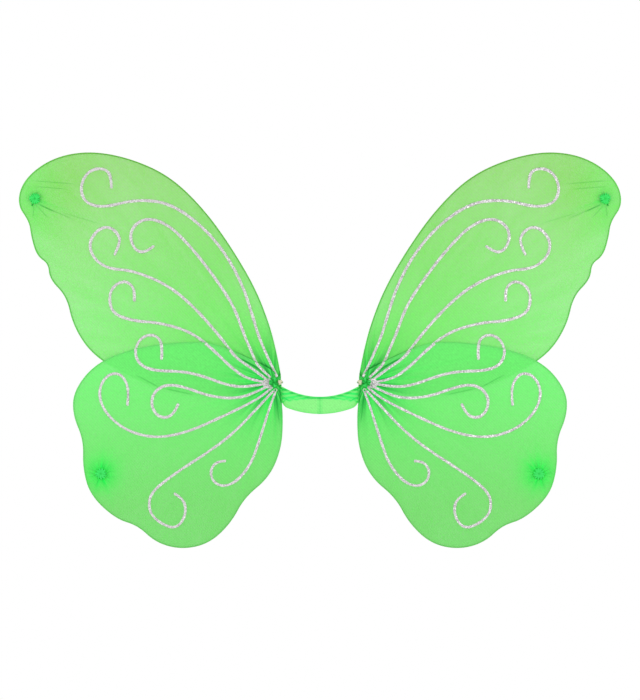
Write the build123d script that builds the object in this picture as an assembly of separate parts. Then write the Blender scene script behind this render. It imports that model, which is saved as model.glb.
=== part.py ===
from build123d import *
import math
import os

# Butterfly dress-up wings: four bent-wire loops under sheer stretch nylon, joined by a
# soft bridge that sits between the shoulder blades. Millimetres, +Z up, +X to the right
# seen from behind the wearer. The decorated side faces -Y and the wearer is on the +Y
# side. The origin is the middle of the bridge's flat back face.
#
# Wing shapes are given as (out, up): out from the middle of the bridge, up from the
# origin. Depths are given as the distance in front of the bridge's back face.

# ---- driving dimensions ----
WIRE_R = 0.7  # bent steel wire of the wing loops
LINK_R = 1.0  # heavier wire of the bridge and the root links
NYLON = 0.3  # one layer of stretched nylon
WIRE_ROOM = 0.1  # slack between a wire and the nylon around it
COVER_OVER = WIRE_R + WIRE_ROOM + NYLON  # how far a cover reaches past its wire's middle
COVER_T = 2 * COVER_OVER
GLITTER_W = 3.7
GLITTER_FINE_W = 3.3
GLITTER_T = 0.4
ARC_SHARE = 0.45  # share of the shorter run that a rounded corner takes

ROOT = (51.0, 25.5)  # the post where a pair of wings is gathered, out and up
ROOT_PLAY = 0.25  # room between the root post and the nylon bound round it
POST_HOLE_R = LINK_R + ROOT_PLAY

BRIDGE_SAG_R = 92.0  # the bridge hangs in an arc of this radius
BRIDGE_HALF = 9.5  # half its height
BRIDGE_T = 7.0
FLAP_OUT = 28.0  # the upright axis that a pair of wings swings about
SLEEVE_WALL = 0.5
SLEEVE_END = (32.0, 43.5)  # the gathered stretch of sleeve between the axis and the wings

LINK_DEPTH = BRIDGE_T / 2
UPPER_BACK = 4.9  # depth of the upper cover's back face
LOWER_BACK = 8.8  # the lower wing lies in front of it
TUFT_BACK = 12.7

LINK_FOOT_UP = 1.0  # the link's pin stands in the eye from here
LINK_ARM_UP = 8.2  # and its arm leaves the bridge at this height
LINK_RISE_OUT = 44.4  # it rises behind the wings here
HOOK_DEPTH = 14.7  # the post's end is bent back over the wings at this depth
HOOK_END_OUT = 40.6
SLOT_HALF = 1.4  # half the height of the slit that the arm swings in
EYE_R = 2.6
EYE_HALF = 1.1  # half the height of an eye
EYE_PLAY = 0.06
TIE = (40.9, 46.2)  # the wound stretch of the hook, out from the middle
TIE_R = 2.8

ROSETTE_NECK = (3.2, 1.0)  # radius and height
ROSETTE_HEAD = (6.2, 3.6)
ROSETTE_THREAD_R = 0.4
TUFT_NECK = (2.4, 1.1)
TUFT_HEAD = (4.5, 4.0)
TUFT_THREAD_R = 0.4
KNOT_ROOM_R = 3.8  # the glitter stops this far from the root post

ELASTIC_T = 0.9
ELASTIC_W = 6.0
ELASTIC_UP = 2.0
ELASTIC_FOLD_R = 2.5  # where it turns off the bridge
ELASTIC_LOOP = [(15, 0), (27, 0), (39, 62), (35, 120), (11, 120), (4, 62)]  # out and back
STITCH_BAR = (6.0, 0.5, 0.9)
STITCH_RISE = 1.6  # each bar's distance from the elastic's middle line

# ---- wing outlines, as the corners of a frame that the smooth wire runs inside ----
# Each starts with the two corners of its nose, the narrow end that holds the root post.
UPPER_OUTLINE = [
    (46.2, 22.8), (43.2, 29), (45.6, 42), (49.6, 62), (56.2, 88), (71, 127), (96.5, 171),
    (127, 214), (164.5, 251), (208, 271), (253, 279.5), (294, 272), (325, 249),
    (333, 222), (319, 202.5), (317, 186), (311, 165), (298, 156.5), (297, 139.5),
    (278, 120.5), (271, 88), (250, 56), (212, 34), (170, 16), (110, 10),
]
LOWER_OUTLINE = [
    (42.9, 22.5), (44.5, 31), (56, 40), (80, 52), (106, 63.5), (125, 69), (160, 68.5),
    (205, 62), (246, 46), (270, 16), (271, -10), (259, -38), (260, -68), (252, -98),
    (224, -124), (200, -131), (180, -150), (152, -157.5), (122, -151), (98, -128),
    (84, -101), (56, -78), (43, -46), (41.5, -14), (43.2, 8),
]

# ---- glitter scrolls, from the root out to each curl ----
HIGH_SCROLL = [
    (47, 31), (57, 51.5), (67.5, 76), (74, 98), (84.5, 131), (103.5, 167), (131, 199),
    (167, 223.5), (204, 226.5), (238, 217.5), (258, 222.5), (264, 238), (258.5, 254),
    (246, 261.5), (232.5, 258.5), (229.4, 246), (229.6, 238.5),
]
SECOND_SCROLL = [
    (54, 30.5), (61, 37), (70, 45.5), (76, 60.5), (84, 79), (95, 110), (118, 144),
    (142, 174.5), (166, 198.5), (190, 207), (206.5, 197), (209, 182.5), (202.5, 170),
    (192, 168), (182, 176),
]
THIRD_SCROLL = [
    (58.5, 28.5), (72, 39), (93, 52.5), (108, 73.5), (138, 108), (168, 133),
    (206, 148.5), (234, 150.5), (249.5, 162), (254.5, 178), (246, 192.5), (233, 197.5),
    (222, 189), (219.5, 178.5), (226.5, 165),
]
FOURTH_SCROLL = [
    (58, 25.5), (78, 28), (97, 41), (118, 62), (142, 81), (176, 91), (206, 93),
    (228, 101), (232.5, 118), (227.5, 131.5), (215, 137.5), (205.5, 131), (204, 121),
    (204.3, 114),
]
FIFTH_SCROLL = [
    (58, 24.5), (82, 19.5), (104, 23), (127.5, 32), (150, 37.5), (180, 38), (197, 43.5),
    (204, 57), (199.5, 72), (188, 78.5), (177, 75), (173, 63), (174.3, 50),
]
SIXTH_SCROLL = [
    (57, 21.5), (78, 10.5), (100, 7.5), (124, 11), (148, 20), (167, 23.5), (180.5, 17),
    (186, 4.5), (181.5, -9), (171, -14.5), (160, -9), (155.5, 2.5),
]
SEVENTH_SCROLL = [
    (52, 20.5), (62, 11.5), (78, 2), (110, -13.5), (146, -29.5), (180, -36),
    (210, -29), (232, -13), (242.5, 6), (241.5, 23), (232, 34.5), (220, 35.5),
    (211.5, 24), (210.5, 10), (211.8, -0.5),
]
EIGHTH_SCROLL = [
    (51, 16.5), (66, 0), (96, -31.5), (124, -52), (150, -68.5), (174, -85.5),
    (186.5, -98), (188.3, -112), (183.5, -122.5), (173, -130.5), (160.5, -135),
    (151.5, -128.5), (147, -115.5), (150, -102.5), (160.8, -96.3),
]
LOW_SCROLL = [
    (48.8, 15), (52.5, 6), (60, -17), (66.5, -38), (76, -65), (92, -84), (107, -89.5),
    (118.5, -83), (120.5, -70.5), (113, -61), (103, -61),
]
UPPER_SCROLLS = [HIGH_SCROLL, SECOND_SCROLL, THIRD_SCROLL, FOURTH_SCROLL, FIFTH_SCROLL]
LOWER_SCROLLS = [
    SECOND_SCROLL, THIRD_SCROLL, FOURTH_SCROLL, FIFTH_SCROLL, SIXTH_SCROLL,
    SEVENTH_SCROLL, EIGHTH_SCROLL, LOW_SCROLL,
]
FINE_SCROLLS = [SEVENTH_SCROLL, EIGHTH_SCROLL, LOW_SCROLL]
GLITTER_POOL = (57.6, 24.4)  # where the scrolls run together
GLITTER_POOL_SIZE = (5.2, 4.8)

UPPER_ROSETTE = (313.5, 227.5)
LOWER_ROSETTE = (240.5, -75.0)


# ---- helpers ----
def place(side, out, depth, up):
    """A point of the model from its out, depth and up, on the left (-1) or right (+1)."""
    return (side * out, -depth, up)


def slab(shape, back, thickness):
    """A flat shape drawn as (across, up), made this thick in front of the given depth."""
    return extrude(Plane.XZ.offset(back) * shape, thickness, dir=(0, -1, 0))


def arc_radii(points, closed):
    """The largest radius that the runs beside each corner leave room for."""
    radii = []
    last = len(points)
    corners = range(last) if closed else range(1, last - 1)
    for i in corners:
        before = Vector(*points[i - 1])
        corner = Vector(*points[i])
        after = Vector(*points[(i + 1) % last])
        first_run = corner - before
        next_run = after - corner
        half_turn = math.radians(first_run.get_angle(next_run)) / 2
        room = ARC_SHARE * min(first_run.length, next_run.length)
        radii.append(room / math.tan(half_turn))
    return radii


def wing_path(side, outline):
    """The closed middle line of a wing's wire, flat, from the nose and back to it."""
    radii = arc_radii(outline, closed=True)
    flat = [(side * out, up) for out, up in outline]
    return FilletPolyline(*flat, radius=radii, close=True)


# ---- wings ----
def wing_wire(side, outline, cover_back):
    path = wing_path(side, outline)
    path = Plane.XZ.offset(cover_back + COVER_OVER) * path
    start = Plane(origin=path @ 0, z_dir=path % 0)
    return sweep(start * Circle(WIRE_R), path=path)


def wing_cover(side, outline, cover_back):
    """A flat bag of two nylon layers, with the wire in its fold all round."""
    middle = make_face(wing_path(side, outline))
    outer = offset(middle, COVER_OVER)
    inner = offset(middle, COVER_OVER - NYLON)
    post_hole = Pos(side * ROOT[0], ROOT[1]) * Circle(POST_HOLE_R)
    bag = slab(outer - post_hole, cover_back, COVER_T)
    hollow = slab(inner, cover_back + NYLON, COVER_T - 2 * NYLON)
    return bag - hollow


def scroll_ribbon(side, scroll):
    """One scroll as a flat ribbon with rounded ends."""
    width = GLITTER_FINE_W if scroll in FINE_SCROLLS else GLITTER_W
    flat = [(side * out, up) for out, up in scroll]
    path = FilletPolyline(*flat, radius=arc_radii(flat, closed=False))
    ribbon = trace(path, width)
    for end in (flat[0], flat[-1]):
        ribbon = ribbon + Pos(*end) * Circle(width / 2)
    return ribbon


def glitter_shape(side, scrolls):
    ribbons = scroll_ribbon(side, scrolls[0])
    for scroll in scrolls[1:]:
        ribbons = ribbons + scroll_ribbon(side, scroll)
    return ribbons


def wing_glitter(side, level):
    """The scrolls that lie on one wing. They were laid across both wings at once, so
    the upper wing only has what shows past the edge of the lower wing."""
    lower_edge = offset(make_face(wing_path(side, LOWER_OUTLINE)), COVER_OVER - 0.1)
    knot_room = Pos(side * ROOT[0], ROOT[1]) * Circle(KNOT_ROOM_R)
    if level == "upper":
        shape = glitter_shape(side, UPPER_SCROLLS) - lower_edge - knot_room
        return slab(shape, UPPER_BACK + COVER_T, GLITTER_T)
    pool = Pos(side * GLITTER_POOL[0], GLITTER_POOL[1]) * Ellipse(*GLITTER_POOL_SIZE)
    shape = (glitter_shape(side, LOWER_SCROLLS) + pool) & lower_edge
    return slab(shape - knot_room, LOWER_BACK + COVER_T, GLITTER_T)


def facing_front(side, out, up, depth):
    """A plane at this place whose normal points to the front."""
    return Plane(origin=place(side, out, depth, up), x_dir=(1, 0, 0), z_dir=(0, -1, 0))


def gathered_knot(plane, neck_size, head_size):
    """A button of gathered nylon: a short neck under a rounded head."""
    neck_r, neck_h = neck_size
    head_r, head_h = head_size
    neck = Cylinder(neck_r, neck_h, align=(Align.CENTER, Align.CENTER, Align.MIN))
    head = Cylinder(head_r, head_h, align=(Align.CENTER, Align.CENTER, Align.MIN))
    head = fillet(head.edges().filter_by(GeomType.CIRCLE), 0.45 * head_h)
    return plane * (neck + Pos(0, 0, neck_h) * head)


def thread_ring(plane, inside_r, thread_r, lift):
    """Turns of thread pulled tight round something of this radius."""
    return plane * Pos(0, 0, lift + thread_r) * Torus(inside_r + thread_r, thread_r)


# ---- root of each pair of wings ----
def link_path(side):
    """The bent wire from the bridge's upright axis to the post that the wings hang on,
    whose end is hooked back so that they can't slide off."""
    route = [
        (FLAP_OUT, LINK_DEPTH, LINK_FOOT_UP),
        (FLAP_OUT, LINK_DEPTH, LINK_ARM_UP),
        (36.0, LINK_DEPTH, LINK_ARM_UP),
        (LINK_RISE_OUT, LINK_DEPTH, 16.0),
        (LINK_RISE_OUT, LINK_DEPTH, ROOT[1]),
        (ROOT[0], LINK_DEPTH, ROOT[1]),
        (ROOT[0], HOOK_DEPTH, ROOT[1]),
        (HOOK_END_OUT, HOOK_DEPTH, ROOT[1]),
    ]
    points = [place(side, *p) for p in route]
    return FilletPolyline(*points, radius=[1.6, 3.0, 3.0, 1.6, 1.6, 1.6])


def link_wire(side, radius):
    path = link_path(side)
    start = Plane(origin=path @ 0, z_dir=path % 0)
    return sweep(start * Circle(radius), path=path)


def root_tie(side):
    """Cream elastic wound round the hook beside the tuft."""
    first, last = TIE
    axis = Plane(origin=place(side, first, HOOK_DEPTH, ROOT[1]), z_dir=(side, 0, 0))
    length = last - first
    wrap = Cylinder(TIE_R, length, align=(Align.CENTER, Align.CENTER, Align.MIN))
    wrap = fillet(wrap.edges().filter_by(GeomType.CIRCLE), 0.8)
    return axis * wrap - link_wire(side, LINK_R + 0.05)


def band_shape(half_height):
    """The bridge seen from the front: a band along its sagging arc."""
    ring = Circle(BRIDGE_SAG_R + half_height) - Circle(BRIDGE_SAG_R - half_height)
    return Pos(0, BRIDGE_SAG_R) * ring


def band_between(half_height, plan):
    """The stretch of the bridge's band over a flat plan (across, depth)."""
    band = slab(band_shape(half_height), -1, BRIDGE_T + 2)
    column = extrude(Pos(0, 0, -BRIDGE_SAG_R / 2) * plan, BRIDGE_SAG_R)
    return band & column


def sleeve_end(side):
    """The bunched end of the sleeve, which swings with the wings."""
    inner, outer = SLEEVE_END
    plan = Pos(side * (inner + outer) / 2, -BRIDGE_T / 2) * Rectangle(outer - inner, BRIDGE_T)
    return band_between(BRIDGE_HALF, plan) - link_wire(side, LINK_R + 0.1)


def root_tuft(side):
    plane = facing_front(side, *ROOT, TUFT_BACK)
    knot = gathered_knot(plane, TUFT_NECK, TUFT_HEAD)
    return knot - link_wire(side, LINK_R + 0.05)


# ---- bridge ----
def middle_plan(inset):
    """Plan of the middle of the bridge, with round ends centred on the upright axes."""
    width = BRIDGE_T - 2 * inset
    return Pos(0, -BRIDGE_T / 2) * SlotCenterToCenter(2 * FLAP_OUT, width)


def upright_disc(radius, low, high):
    """The same upright disc on both swing axes."""
    disc = Cylinder(radius, high - low, align=(Align.CENTER, Align.CENTER, Align.MIN))
    left = Pos(-FLAP_OUT, -LINK_DEPTH, low) * disc
    right = Pos(FLAP_OUT, -LINK_DEPTH, low) * disc
    return left + right


def sag_up(out):
    """How high the bridge's middle line is at this distance out."""
    return BRIDGE_SAG_R - math.sqrt(BRIDGE_SAG_R**2 - out**2)


def swing_slot():
    """The slits across both ends of the bridge that the links' arms swing in."""
    radius = BRIDGE_T / 2 + 1.1
    return upright_disc(radius, LINK_ARM_UP - SLOT_HALF, LINK_ARM_UP + SLOT_HALF)


def eye_discs(radius, slack):
    middle = sag_up(FLAP_OUT)
    return upright_disc(radius, middle - EYE_HALF - slack, middle + EYE_HALF + slack)


def bridge_sleeve():
    outside = band_between(BRIDGE_HALF, middle_plan(0))
    inside = band_between(BRIDGE_HALF - SLEEVE_WALL, middle_plan(SLEEVE_WALL))
    return outside - inside - swing_slot()


def core_wire(radius):
    reach = FLAP_OUT - 1.7
    left_end, right_end = [place(side, reach, LINK_DEPTH, sag_up(reach)) for side in (-1, 1)]
    path = ThreePointArc(left_end, place(1, 0, LINK_DEPTH, 0), right_end)
    start = Plane(origin=path @ 0, z_dir=path % 0)
    return sweep(start * Circle(radius), path=path)


def bridge_wire():
    """The stiff wire in the bridge, with an eye at each end for the links to turn in."""
    return core_wire(LINK_R) + eye_discs(EYE_R, 0) - eye_discs(LINK_R + EYE_PLAY, 0)


def bridge_padding():
    slack = 0.15
    inset = SLEEVE_WALL + 0.05
    filling = band_between(BRIDGE_HALF - inset, middle_plan(inset))
    pin_room = upright_disc(LINK_R + 2 * slack, LINK_FOOT_UP - 2 * slack, LINK_ARM_UP)
    filling = filling - core_wire(LINK_R + 0.05) - eye_discs(EYE_R + slack, slack)
    return filling - pin_room - swing_slot()


# ---- shoulder loops ----
def loop_outline(side):
    """The elastic's outer line, flat: short along the bridge, wide where the arm goes."""
    flat = [(side * out, back) for out, back in ELASTIC_LOOP]
    radii = arc_radii(flat, closed=True)
    radii[0] = radii[1] = ELASTIC_FOLD_R
    return make_face(FilletPolyline(*flat, radius=radii, close=True))


def shoulder_elastic(side):
    outer = loop_outline(side)
    ring = outer - offset(outer, -ELASTIC_T)
    return extrude(Pos(0, 0, ELASTIC_UP - ELASTIC_W / 2) * ring, ELASTIC_W)


def elastic_stitches(side):
    """Two bars of stitching that hold the elastic to the bridge."""
    middle = (ELASTIC_LOOP[0][0] + ELASTIC_LOOP[1][0]) / 2
    back = ELASTIC_T + STITCH_BAR[1] / 2
    bars = []
    for up in (ELASTIC_UP - STITCH_RISE, ELASTIC_UP + STITCH_RISE):
        bars.append(Pos(side * middle, back, up) * Box(*STITCH_BAR))
    return Compound(children=bars)


# ---- all nodes ----
def wing_nodes(side_name, side, level):
    outline = UPPER_OUTLINE if level == "upper" else LOWER_OUTLINE
    back = UPPER_BACK if level == "upper" else LOWER_BACK
    rosette = UPPER_ROSETTE if level == "upper" else LOWER_ROSETTE
    front = back + COVER_T
    tip = facing_front(side, *rosette, front)
    root = facing_front(side, *ROOT, front)
    name = f"{side_name}_{level}_"
    return {
        name + "wire_loop": wing_wire(side, outline, back),
        name + "nylon_cover": wing_cover(side, outline, back),
        name + "glitter_scrolls": wing_glitter(side, level),
        name + "rosette": gathered_knot(tip, ROSETTE_NECK, ROSETTE_HEAD),
        name + "rosette_thread": thread_ring(tip, ROSETTE_NECK[0], ROSETTE_THREAD_R, 0.1),
        name + "root_binding": thread_ring(root, POST_HOLE_R + 0.1, 0.45, 0.0),
    }


def root_nodes(side_name, side):
    tuft = facing_front(side, *ROOT, TUFT_BACK)
    name = f"{side_name}_"
    return {
        name + "link_wire": link_wire(side, LINK_R),
        name + "root_tie": root_tie(side),
        name + "sleeve_end": sleeve_end(side),
        name + "root_tuft": root_tuft(side),
        name + "tuft_thread": thread_ring(tuft, TUFT_NECK[0], TUFT_THREAD_R, 0.1),
        name + "shoulder_elastic": shoulder_elastic(side),
        name + "elastic_stitches": elastic_stitches(side),
    }


nodes = {
    "bridge_sleeve": bridge_sleeve(),
    "bridge_padding": bridge_padding(),
    "bridge_wire": bridge_wire(),
}
for side_name, side in (("left", -1), ("right", 1)):
    nodes.update(root_nodes(side_name, side))
    for level in ("upper", "lower"):
        nodes.update(wing_nodes(side_name, side, level))

os.makedirs("parts", exist_ok=True)
for node_name, shape in nodes.items():
    export_step(shape, f"parts/{node_name}.step")
print(len(nodes), "nodes")
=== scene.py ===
# %% [markdown]
# # Fairy wings
#
# Dress-up wings for a costume: four loops of bent wire, each inside a bag of sheer green
# nylon, with scrolls of glitter glue drawn across the front. Every pair of wings hangs on
# a wire post, and a soft padded sleeve between the shoulder blades joins the two pairs.
#
# The hard frame with its joints is loaded first. Each soft or fine part is then made over
# it in more detail. Most ride on the body that they belong to; the bridge's sleeve halves
# and wadding are fixed in place.

import math
import random

import bmesh
import bpy
import numpy as np
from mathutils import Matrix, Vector


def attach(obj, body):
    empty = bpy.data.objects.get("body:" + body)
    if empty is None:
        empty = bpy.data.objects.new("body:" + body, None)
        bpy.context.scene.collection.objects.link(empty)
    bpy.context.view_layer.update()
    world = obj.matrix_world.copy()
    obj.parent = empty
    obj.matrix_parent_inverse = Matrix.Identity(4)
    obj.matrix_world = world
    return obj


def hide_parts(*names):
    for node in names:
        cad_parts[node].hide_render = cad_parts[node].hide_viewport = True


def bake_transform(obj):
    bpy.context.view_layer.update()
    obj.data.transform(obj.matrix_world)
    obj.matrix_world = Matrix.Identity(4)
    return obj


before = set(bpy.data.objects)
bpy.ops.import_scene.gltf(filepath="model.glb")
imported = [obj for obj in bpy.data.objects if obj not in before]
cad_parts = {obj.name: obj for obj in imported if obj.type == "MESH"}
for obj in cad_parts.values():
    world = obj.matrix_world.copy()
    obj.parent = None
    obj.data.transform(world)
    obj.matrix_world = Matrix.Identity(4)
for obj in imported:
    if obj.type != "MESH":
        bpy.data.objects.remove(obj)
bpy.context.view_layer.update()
SIDES = {"left": -1, "right": 1}

# %% [markdown]
# ## Sizes
#
# The model is in metres, but a maker of wings thinks in millimetres, so every size below
# is in millimetres and one number turns it to metres. Wing shapes are drawn as pairs
# (out, up): out from the middle of the bridge, up from the origin. Depth is counted
# forward from the bridge's flat back, which is the -Y direction.

# %% Sizes that the pieces share
MM = 0.001
ROOT = (51.0, 25.5)  # the post that a pair of wings hangs on
WIRE_R = 0.7
COVER_R = 0.95  # nylon's distance from the middle of the wire in its fold
WING_MIDDLE = {"upper": 6.0, "lower": 9.9}  # depth of each wing's wire
SLEEVE_DEPTH = 3.5  # the sleeve's middle
TUFT_BACK = 12.7
HOOK_DEPTH = 14.7  # the post's end is bent back over the wings at this depth
SAG_R = 92.0  # the sleeve hangs in an arc of this radius

UPPER_OUTLINE = [
    (46.2, 22.8), (43.2, 29), (45.6, 42), (49.6, 62), (56.2, 88), (71, 127), (96.5, 171),
    (127, 214), (164.5, 251), (208, 271), (253, 279.5), (294, 272), (325, 249),
    (333, 222), (319, 202.5), (317, 186), (311, 165), (298, 156.5), (297, 139.5),
    (278, 120.5), (271, 88), (250, 56), (212, 34), (170, 16), (110, 10),
]
LOWER_OUTLINE = [
    (42.9, 22.5), (44.5, 31), (56, 40), (80, 52), (106, 63.5), (125, 69), (160, 68.5),
    (205, 62), (246, 46), (270, 16), (271, -10), (259, -38), (260, -68), (252, -98),
    (224, -124), (200, -131), (180, -150), (152, -157.5), (122, -151), (98, -128),
    (84, -101), (56, -78), (43, -46), (41.5, -14), (43.2, 8),
]
OUTLINES = {"upper": UPPER_OUTLINE, "lower": LOWER_OUTLINE}
ROSETTES = {"upper": (313.5, 227.5), "lower": (240.5, -75.0)}


def place(side, out, depth, up):
    """A point of the model, in metres, on the left (-1) or the right (+1)."""
    return (side * out * MM, -depth * MM, up * MM)


# %% [markdown]
# ## Camera, light and floor
#
# Sheer cloth is judged by what shines through it, so the wings hang in front of plain
# white. A long lens far away keeps the flat wings free of perspective. The floor is a
# pale disc well below, and its rim fades out.

# %% Camera
VIEW_HIGH = 770.0  # height of the picture where the wings hang
VIEW_MIDDLE_UP = 61.0
CAMERA_AWAY = 3200.0
SENSOR = 36.0

bpy.ops.object.camera_add(
    location=(0, -(CAMERA_AWAY + 7.5) * MM, VIEW_MIDDLE_UP * MM), rotation=(math.pi / 2, 0, 0)
)
camera = bpy.context.object
camera.name = "camera"
camera.data.sensor_width = SENSOR
camera.data.lens = SENSOR * CAMERA_AWAY / VIEW_HIGH
camera.data.dof.use_dof = False
camera.data.clip_end = 50
bpy.context.scene.camera = camera
bpy.context.scene.view_settings.view_transform = "Standard"
print("lens", round(camera.data.lens, 1), "mm")

# %% [markdown]
# Colours are picked as sRGB hex values, the way that a paint card gives them. The
# renderer adds light up in linear values, so one function turns them. A second function
# adds a node to a material: it takes the settings and the links by name, and every
# material below is built with it.


# %% Colour and node helpers
def linear(code):
    """An sRGB hex colour, such as "#3ce757", as linear red, green, blue and alpha."""
    parts = [int(code[i:i + 2], 16) / 255 for i in (1, 3, 5)]
    turned = [p / 12.92 if p <= 0.04045 else ((p + 0.055) / 1.055) ** 2.4 for p in parts]
    return (*turned, 1.0)


def add_node(material, kind, settings=(), links=()):
    """Adds a node. Settings are sockets or properties and their values, and links are
    sockets and the outputs that feed them."""
    node = material.node_tree.nodes.new(kind)
    for name, value in dict(settings).items():
        if isinstance(name, int) or name in node.inputs:
            node.inputs[name].default_value = value
        else:
            setattr(node, name, value)
    for name, output in dict(links).items():
        material.node_tree.links.new(output, node.inputs[name])
    return node


def empty_material(name):
    material = bpy.data.materials.new(name)
    material.use_nodes = True
    material.node_tree.nodes.clear()
    return material


print("nylon green in linear values:", [round(part, 3) for part in linear("#3ce757")])

# %% [markdown]
# The room is white, so soft light comes from all round and what shows through the nylon
# is bright. Two small lamps in front pick out the glitter and the knots, and a large one
# behind shines through the wings.

# %% World and lamps
WORLD_LIGHT = 0.76

world = bpy.data.worlds.new("white_room")
bpy.context.scene.world = world
world.use_nodes = True
world.node_tree.nodes.clear()
path = add_node(world, "ShaderNodeLightPath")
room = add_node(world, "ShaderNodeBackground", {"Color": (1, 1, 1, 1), "Strength": WORLD_LIGHT})
seen = add_node(world, "ShaderNodeBackground", {"Color": (1, 1, 1, 1), "Strength": 1.0})
both = add_node(
    world, "ShaderNodeMixShader",
    links={0: path.outputs["Is Camera Ray"], 1: room.outputs[0], 2: seen.outputs[0]},
)
add_node(world, "ShaderNodeOutputWorld", links={"Surface": both.outputs[0]})

LAMPS = [  # name, place, size and power in watts
    ("left", (-0.62, -0.56, 0.12), 0.5, 1.35),
    ("right", (0.62, -0.56, 0.12), 0.5, 1.35),
    ("back", (0.3, 2.2, 0.6), 2.2, 10.0),
]
for name, spot, size, power in LAMPS:
    bpy.ops.object.light_add(type="AREA", location=spot)
    lamp = bpy.context.object
    lamp.name = name
    lamp.data.size = size
    lamp.data.energy = power
    aim = Vector((0, 0, 0.06)) - Vector(spot)
    lamp.rotation_euler = aim.to_track_quat("-Z", "Y").to_euler()
print(len(LAMPS), "lamps")

# %% Floor
FLOOR_UP = -600.0
FLOOR_R = 2200.0

bpy.ops.object.select_all(action="DESELECT")
bpy.ops.mesh.primitive_circle_add(
    vertices=96, radius=FLOOR_R * MM, fill_type="NGON", location=(0, 0, FLOOR_UP * MM)
)
floor = bpy.context.object
floor.name = "floor"
paper = empty_material("pale_paper")
spot = add_node(paper, "ShaderNodeTexCoord")
reach = add_node(
    paper, "ShaderNodeVectorMath", {"operation": "LENGTH"}, {0: spot.outputs["Object"]}
)
fade = add_node(
    paper, "ShaderNodeMapRange",
    {"interpolation_type": "SMOOTHSTEP", "From Min": 1.1, "From Max": 2.1, "To Min": 1.0, "To Max": 0.0},
    {"Value": reach.outputs["Value"]},
)
sheet_of_paper = add_node(
    paper, "ShaderNodeBsdfPrincipled",
    {"Base Color": linear("#f4f4f2"), "Roughness": 0.9, "Specular IOR Level": 0.2},
    {"Alpha": fade.outputs[0]},
)
add_node(paper, "ShaderNodeOutputMaterial", links={"Surface": sheet_of_paper.outputs[0]})
floor.data.materials.append(paper)
print("floor", -FLOOR_UP, "mm below the bridge")

# %% [markdown]
# ## Smooth lines
#
# A bent wire has no corners, and neither has a line drawn with a glue bottle. Both are
# NURBS curves that run inside a frame of points. The helper below makes such a curve,
# reads it back as points and lays them out at even steps, because the nylon and the
# glitter follow the same line as the wire.


# %% Line helpers
def smooth_line(corners, closed):
    """Points of the NURBS line that runs inside these corners, as an array."""
    data = bpy.data.curves.new("line", "CURVE")
    data.dimensions = "3D"
    data.resolution_u = 24
    spline = data.splines.new("NURBS")
    spline.points.add(len(corners) - 1)
    for point, corner in zip(spline.points, corners):
        point.co = (*corner, *(0,) * (3 - len(corner)), 1)
    spline.use_cyclic_u = closed
    spline.use_endpoint_u = not closed
    spline.order_u = 3
    line = bpy.data.objects.new("line", data)
    bpy.context.collection.objects.link(line)
    mesh = bpy.data.meshes.new_from_object(line)
    points = np.array([v.co[:len(corners[0])] for v in mesh.vertices])
    bpy.data.objects.remove(line)
    bpy.data.curves.remove(data)
    bpy.data.meshes.remove(mesh)
    return points


def lay_out(points, step, closed):
    """The same line with points at steps along it. step(point) is the step wanted there."""
    line = np.vstack([points, points[:1]]) if closed else points
    runs = np.linalg.norm(np.diff(line, axis=0), axis=1)
    along = np.concatenate([[0], np.cumsum(runs)])
    stops = [0.0]
    while stops[-1] < along[-1]:
        here = [np.interp(stops[-1], along, line[:, i]) for i in range(line.shape[1])]
        stops.append(stops[-1] + step(here))
    stops = np.array(stops) * along[-1] / stops[-1]
    if closed:
        stops = stops[:-1]
    return np.stack([np.interp(stops, along, line[:, i]) for i in range(line.shape[1])], axis=1)


def side_of_travel(points, closed):
    """Unit vectors to the right of a flat line's direction, one at each point."""
    if closed:
        along = np.roll(points, -1, axis=0) - np.roll(points, 1, axis=0)
    else:
        along = np.gradient(points, axis=0)
    along = along / np.linalg.norm(along, axis=1, keepdims=True)
    return np.stack([along[:, 1], -along[:, 0]], axis=1)


def outward_ways(rim):
    """Unit vectors that point out of a closed flat line, one at each point."""
    ways = side_of_travel(rim, closed=True)
    return ways if ((rim - rim.mean(axis=0)) * ways).sum() > 0 else -ways


print("lines are laid out at even steps")

# %% [markdown]
# Each outline begins with its nose, the narrow end that the post goes through. The wire
# is bent tightly there, so its points are closer together than out on the wing.

# %% Wing outlines
def wire_step(point):
    """Steps are short at the tight bend and longer out on the wing."""
    return min(2.2, 0.3 + 0.05 * math.dist(point, ROOT))


rims = {}
for level, outline in OUTLINES.items():
    rims[level] = lay_out(smooth_line(outline, closed=True), wire_step, closed=True)
    print(level, "rim has", len(rims[level]), "points")

# %% [markdown]
# ## Meshes from rows of points
#
# Nylon bags, tubes and beads are all grids: rows of points where each row joins the next.
# One helper turns such a grid into a mesh, and can close it in either direction. It also
# carries values for the material, such as how bunched the nylon is, as attributes.


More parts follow.
